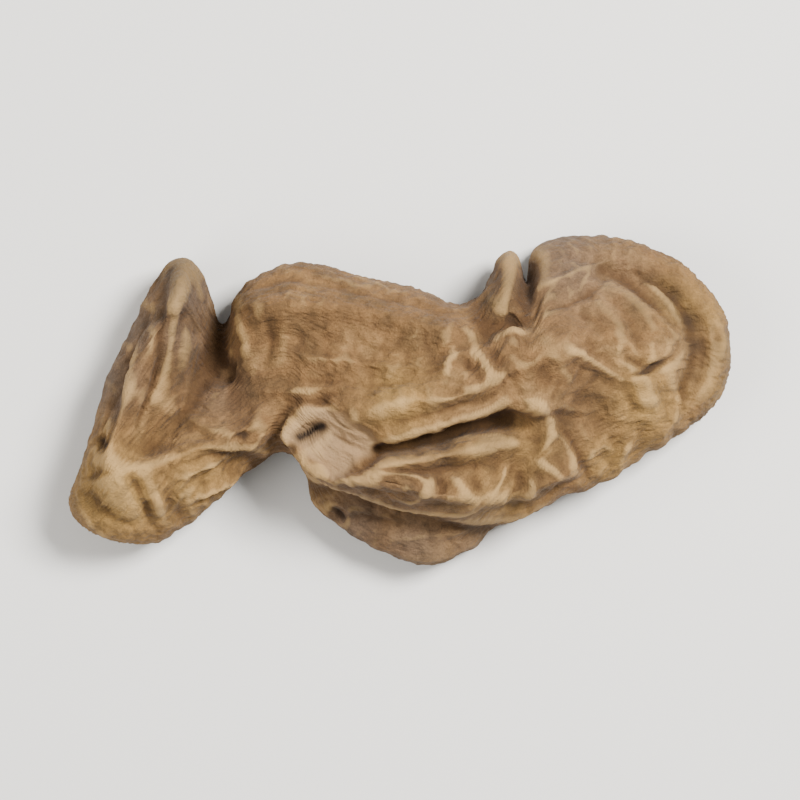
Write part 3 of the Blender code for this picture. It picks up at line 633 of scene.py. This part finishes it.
def closed_piece(name, outer, inner, fields):
    """One closed mesh: the outer net, the inner net turned over with every second line kept, and
    three rows of points between their edges that swell out in a half round: middle + (top - bottom)
    cos(angle) / 2 + away swell sin(angle), with swell a little under half their distance. The last
    strip joins each of the inner edge's points to two of the row's. Fields become attributes."""
    sparse = inner[::INNER_STEP, ::INNER_STEP]
    nets = [np.arange(net.shape[0] ** 2).reshape(net.shape[:2]) for net in (outer, sparse)]
    nets[1] += outer.shape[0] ** 2
    faces = []
    for index, turned_over in zip(nets, (False, True)):
        quads = np.stack([index[:-1, :-1], index[:-1, 1:], index[1:, 1:], index[1:, :-1]], axis=-1)
        quads = quads.reshape(-1, 4)
        faces += (quads[:, ::-1] if turned_over else quads).tolist()

    top, bottom = edge_loop(outer), edge_loop(inner)
    three_lines_in = np.rint(np.linspace(3, NET - 4, NET)).astype(int)
    away = top - edge_loop(outer[np.ix_(three_lines_in, three_lines_in)])
    along = np.roll(top, -1, axis=0) - np.roll(top, 1, axis=0)
    along /= np.linalg.norm(along, axis=1, keepdims=True)
    away -= along * np.sum(away * along, axis=1, keepdims=True)
    away /= np.maximum(np.linalg.norm(away, axis=1, keepdims=True), 1e-9)
    for _ in range(10):
        away = (np.roll(away, 1, axis=0) + 2 * away + np.roll(away, -1, axis=0)) / 4
    swell = 0.45 * np.linalg.norm(top - bottom, axis=1, keepdims=True)
    rows, rings = [], [edge_loop(nets[0])]
    first = nets[1].max() + 1
    for number, turn in enumerate((45, 90, 135)):
        angle = math.radians(turn)
        middle = (top + bottom) / 2 + (top - bottom) / 2 * math.cos(angle)
        rows.append(middle + away * swell * math.sin(angle))
        rings.append(first + number * len(top) + np.arange(len(top)))
    for upper, under in zip(rings[:-1], rings[1:]):
        faces += np.stack([upper, under, np.roll(under, -1), np.roll(upper, -1)], axis=-1).tolist()
    start, between = rings[-1][::INNER_STEP], rings[-1][1::INNER_STEP]
    under = edge_loop(nets[1])
    after = np.roll(under, -1)
    following = np.roll(start, -1)
    for corners in ((start, under, between), (between, under, after), (between, after, following)):
        faces += np.stack(corners, axis=-1).tolist()
    points = np.vstack([outer.reshape(-1, 3), sparse.reshape(-1, 3), *rows])
    points[:, 2] = np.maximum(points[:, 2], 0)

    mesh = bpy.data.meshes.new(name)
    mesh.from_pydata((points * MM).tolist(), [], faces)
    for field, (on_outer, on_inner) in fields.items():
        loop_outer, loop_inner = edge_loop(on_outer), edge_loop(on_inner)
        rim_rows = [loop_outer * (1 - share) + loop_inner * share for share in (0.25, 0.5, 0.75)]
        on_sparse = on_inner[::INNER_STEP, ::INNER_STEP]
        values = np.concatenate([on_outer.ravel(), on_sparse.ravel(), *rim_rows])
        attribute = mesh.attributes.new(field, "FLOAT", "POINT")
        attribute.data.foreach_set("value", values.astype(np.float32))
    mesh.shade_smooth()
    mesh.update()
    piece = bpy.data.objects.new(name, mesh)
    bpy.context.scene.collection.objects.link(piece)
    return piece


def fitted(points, low, high):
    """Moves and stretches the net a little along each axis so its box is the solid's box."""
    least, most = points.min(axis=(0, 1)), points.max(axis=(0, 1))
    return low + (points - least) * (high - low) / (most - least)


def relief(points, passes, spread):
    """How far each point stands out from the softened net, as a share of spread, from -1 to 1."""
    calm = softened(points, passes)
    return np.clip(np.einsum("ijk,ijk->ij", points - calm, net_normals(calm)) / spread, -1, 1)


# ------------------------------------------------------------------------------- materials


# A Mix node's sockets by number: its share, then the two numbers or the two colours that it mixes,
# and where a mixed colour comes out.
SHARE, NUMBER_A, NUMBER_B, COLOUR_A, COLOUR_B = 0, 2, 3, 6, 7
MIXED_COLOUR = 2


def linear(hex_colour):
    """An sRGB hex colour as linear red, green, blue and alpha."""
    parts = [int(hex_colour[i : i + 2], 16) / 255 for i in (1, 3, 5)]
    return [p / 12.92 if p <= 0.04045 else ((p + 0.055) / 1.055) ** 2.4 for p in parts] + [1.0]


def add(tree, kind, settings=None, links=None):
    """Adds a node, sets its properties, sockets and ramp stops from settings, and links its inputs.
    Sockets go by name, or by number where two of them share a name."""
    node = tree.nodes.new(kind)
    for key, value in (settings or {}).items():
        if key == "stops":
            for _ in value[2:]:
                node.color_ramp.elements.new(0.5)
            for element, (place, colour) in zip(node.color_ramp.elements, value):
                element.position, element.color = place, linear(colour)
        elif isinstance(key, int) or key in node.inputs:
            node.inputs[key].default_value = value
        else:
            setattr(node, key, value)
    for key, source in (links or {}).items():
        tree.links.new(source, node.inputs[key])
    return node


def dried_skin():
    """Dried wood ear skin. The outer side is down-covered, so it is dull with a faint velvet sheen.
    Its ridges are a paler tan, partly rubbed bare of down and partly a painted highlight, and its
    creases are brown with painted shade. The inner side is the bare spore-bearing layer, near-black
    and smooth with a soft gloss. Both show through one shader, blended by side."""
    material = bpy.data.materials.new("dried_wood_ear_skin")
    material.use_nodes = True
    tree = material.node_tree
    tree.nodes.clear()
    place = add(tree, "ShaderNodeTexCoord").outputs["Object"]
    field = {
        name: add(tree, "ShaderNodeAttribute", {"attribute_name": name}).outputs["Fac"]
        for name in ("side", "broad_relief", "fine_relief", "stub", "golden", "greyed", "shaded")
    }
    bare = add(tree, "ShaderNodeMath", {"operation": "SUBTRACT", 0: 1.0}, {1: field["side"]}).outputs[0]

    # By width in millimetres: broad patches of tone, mottling, tufts of down and the skin's shrunken
    # net of veins. Real down is finer, and is drawn this coarse so that it shows.
    pattern = {
        name: add(
            tree,
            "ShaderNodeTexNoise",
            {
                "Scale": 1 / (width * MM),
                "Detail": detail,
                "Roughness": roughness,
                "Distortion": warp,
                "noise_type": kind,
            },
            {"Vector": place},
        ).outputs["Fac"]
        for name, width, detail, roughness, warp, kind in (
            ("patches", 4.0, 3.0, 0.55, 0.3, "FBM"),
            ("mottling", 0.9, 4.0, 0.65, 0.6, "FBM"),
            ("down", 0.14, 2.0, 0.7, 0.0, "FBM"),
            ("veins", 1.2, 3.0, 0.5, 0.8, "RIDGED_MULTIFRACTAL"),
        )
    }

    colour = add(
        tree,
        "ShaderNodeValToRGB",
        {"stops": [(0.32, "#6c5131"), (0.50, "#83603a"), (0.66, "#967348")]},
        {"Fac": pattern["patches"]},
    ).outputs["Color"]
    # The warmer gold is partly the skin's own tone and partly a painted highlight, and the greyer tone is in
    # one spot a painted reflection.
    for name, tint in (("golden", "#ab8549"), ("greyed", "#705d4d")):
        colour = add(
            tree,
            "ShaderNodeMix",
            {"data_type": "RGBA", COLOUR_B: linear(tint)},
            {SHARE: field[name], COLOUR_A: colour},
        ).outputs[MIXED_COLOUR]
    for name, strength, low, high in (("mottling", 0.55, 0.36, 0.64), ("down", 0.45, 0.3, 0.7)):
        grey = add(
            tree,
            "ShaderNodeValToRGB",
            {"stops": [(low, "#565656"), (high, "#aaaaaa")]},
            {"Fac": pattern[name]},
        ).outputs["Color"]
        colour = add(
            tree,
            "ShaderNodeMix",
            {"data_type": "RGBA", "blend_type": "OVERLAY", SHARE: strength},
            {COLOUR_A: colour, COLOUR_B: grey},
        ).outputs[MIXED_COLOUR]

    # The ridges are paler, partly down rubbed off and partly a painted highlight, the creases are darker
    # with painted shade, the stub's cut is bare, and the shaded field lays on painted shade.
    height = add(
        tree,
        "ShaderNodeMath",
        {"operation": "MULTIPLY_ADD", 1: 0.15},
        {0: field["broad_relief"], 2: field["fine_relief"]},
    ).outputs[0]
    stub = add(tree, "ShaderNodeMath", {"operation": "MULTIPLY", 1: 0.6}, {0: field["stub"]}).outputs[0]
    ridge_highlight_and_wear, crease_shade = (
        add(
            tree,
            "ShaderNodeMapRange",
            {"From Min": begins, "From Max": ends, "To Min": 0.0, "To Max": most},
            {"Value": height},
        ).outputs[0]
        for begins, ends, most in ((0.4, 1.2, 0.5), (-0.15, -1.1, 0.70))
    )
    for share, tint in (
        (ridge_highlight_and_wear, "#b5935f"),
        (crease_shade, "#38230f"),
        (stub, "#947857"),
        (field["shaded"], "#241a12"),
    ):
        colour = add(
            tree,
            "ShaderNodeMix",
            {"data_type": "RGBA", COLOUR_B: linear(tint)},
            {SHARE: share, COLOUR_A: colour},
        ).outputs[MIXED_COLOUR]

    inner = add(
        tree,
        "ShaderNodeValToRGB",
        {"stops": [(0.3, "#1b1918"), (0.55, "#282422"), (0.75, "#39322d")]},
        {"Fac": pattern["patches"]},
    ).outputs["Color"]
    colour = add(
        tree,
        "ShaderNodeMix",
        {"data_type": "RGBA"},
        {SHARE: field["side"], COLOUR_A: colour, COLOUR_B: inner},
    ).outputs[MIXED_COLOUR]
    downy, smooth = (
        add(
            tree, "ShaderNodeMapRange", {"To Min": low, "To Max": high}, {"Value": pattern["mottling"]}
        ).outputs[0]
        for low, high in ((0.70, 0.95), (0.34, 0.55))
    )
    roughness = add(
        tree,
        "ShaderNodeMix",
        {"data_type": "FLOAT"},
        {SHARE: field["side"], NUMBER_A: downy, NUMBER_B: smooth},
    ).outputs[0]

    normal = add(
        tree, "ShaderNodeBump", {"Distance": 0.00012, "Strength": 0.5}, {"Height": pattern["mottling"]}
    ).outputs["Normal"]
    for name, depth in (("veins", 0.0002), ("down", 0.00009)):
        normal = add(
            tree,
            "ShaderNodeBump",
            {"Distance": depth},
            {"Height": pattern[name], "Normal": normal, "Strength": bare},
        ).outputs["Normal"]
    shader = add(
        tree,
        "ShaderNodeBsdfPrincipled",
        {"IOR": 1.45, "Specular IOR Level": 0.2, "Sheen Weight": 0.03, "Sheen Roughness": 0.5},
        {"Base Color": colour, "Roughness": roughness, "Normal": normal},
    )
    add(tree, "ShaderNodeOutputMaterial", links={"Surface": shader.outputs[0]})
    return material


def plain_floor():
    """Matt off-white paper board."""
    material = bpy.data.materials.new("paper_board")
    material.use_nodes = True
    shader = material.node_tree.nodes["Principled BSDF"]
    shader.inputs["Base Color"].default_value = linear("#d9d6d0")
    shader.inputs["Roughness"].default_value = 0.9
    return material


# ----------------------------------------------------------------------------------- scene


# Each soft box: its place from the piece's middle and its side, both in lengths of the piece, and
# its watts.
SOFT_BOXES = {"key": ((2.6, 1.8, 4.8), 1.8, 2.1), "fill": ((-4.0, -1.0, 4.0), 4.0, 0.6)}
ROOM_LIGHT = 0.42       # strength of the even white light from all round
LENS, SENSOR = 170, 36  # of the camera
FRAME_SHARE = 0.84      # how much of the frame's width the piece spans
FLOOR_REACH = 20        # how far the floor runs each way, in lengths of the piece


def soft_light(name, place, aim, size, watts):
    """A square soft box at place that points at aim."""
    data = bpy.data.lights.new(name, "AREA")
    data.size, data.energy = size, watts
    light = bpy.data.objects.new(name, data)
    light.location = place
    light.rotation_euler = (aim - light.location).to_track_quat("-Z", "Y").to_euler()
    bpy.context.scene.collection.objects.link(light)


def studio(low, high):
    """A pale floor, soft boxes and an overhead camera, all placed from the piece's own box."""
    middle = (low + high) / 2
    length = high.x - low.x
    side = np.linspace(-FLOOR_REACH, FLOOR_REACH, 5) * length
    x, y = np.meshgrid(side, side)
    index = np.arange(x.size).reshape(x.shape)
    faces = np.stack([index[:-1, :-1], index[:-1, 1:], index[1:, 1:], index[1:, :-1]], axis=-1)
    mesh = bpy.data.meshes.new("floor")
    points = np.stack([x, y, 0 * x], axis=-1)
    mesh.from_pydata(points.reshape(-1, 3).tolist(), [], faces.reshape(-1, 4).tolist())
    mesh.materials.append(plain_floor())
    floor = bpy.data.objects.new("floor", mesh)
    bpy.context.scene.collection.objects.link(floor)

    for name, (place, size, watts) in SOFT_BOXES.items():
        soft_light(name, middle + Vector(place) * length, middle, size * length, watts)
    world = bpy.data.worlds.new("studio")
    bpy.context.scene.world = world
    world.use_nodes = True
    background = world.node_tree.nodes["Background"]
    background.inputs["Color"].default_value = (1, 1, 1, 1)
    background.inputs["Strength"].default_value = ROOM_LIGHT

    data = bpy.data.cameras.new("camera")
    data.lens, data.sensor_width = LENS, SENSOR
    data.clip_start, data.clip_end = 0.001, 10
    camera = bpy.data.objects.new("camera", data)
    camera.location = middle + Vector((0, 0, length / FRAME_SHARE * LENS / SENSOR))
    bpy.context.scene.collection.objects.link(camera)
    bpy.context.scene.camera = camera


def main():
    """Shapes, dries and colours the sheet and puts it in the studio."""
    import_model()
    low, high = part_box("wood_ear")
    net = creased(broad_form(passes=5), CREASES, uneven=0.65)
    net = dried_in_two_stages(net)
    # Painted shade in the splits, laid into the shaded field.
    split = in_splits(net)
    net = creased(net, SPLITS, uneven=0.0)
    calm = (1 - off_corners())[..., None]
    net = softened(net, 1) * (1 - calm) + softened(net, 16) * calm
    broad_relief, fine_relief = relief(net, passes=24, spread=0.35), relief(net, passes=5, spread=0.08)
    stub = stub_hold(net[..., 0], net[..., 1], ease=0.5)
    net = fitted(wrinkled(net), np.array(low) / MM, np.array(high) / MM)

    # Each field's values on the outer side and on the inner side.
    zero, one = np.zeros((NET, NET)), np.ones((NET, NET))
    fields = {
        "side": (zero, one),
        "broad_relief": (broad_relief, broad_relief),
        "fine_relief": (fine_relief, fine_relief),
        "stub": (stub, zero),
        # The gold tone with painted highlight, the greyer tone with one painted reflection, and painted
        # shade from the spots and the splits.
        "golden": (tinted(net, GOLDEN_AND_HIGHLIT), zero),
        "greyed": (tinted(net, GREYED), zero),
        "shaded": (np.maximum(tinted(net, SHADED), split), zero),
    }
    piece = closed_piece("wood_ear_skin", net, flesh(net), fields)
    piece.data.materials.append(dried_skin())
    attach(piece, "root")
    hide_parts("wood_ear")
    studio(low, high)


main()
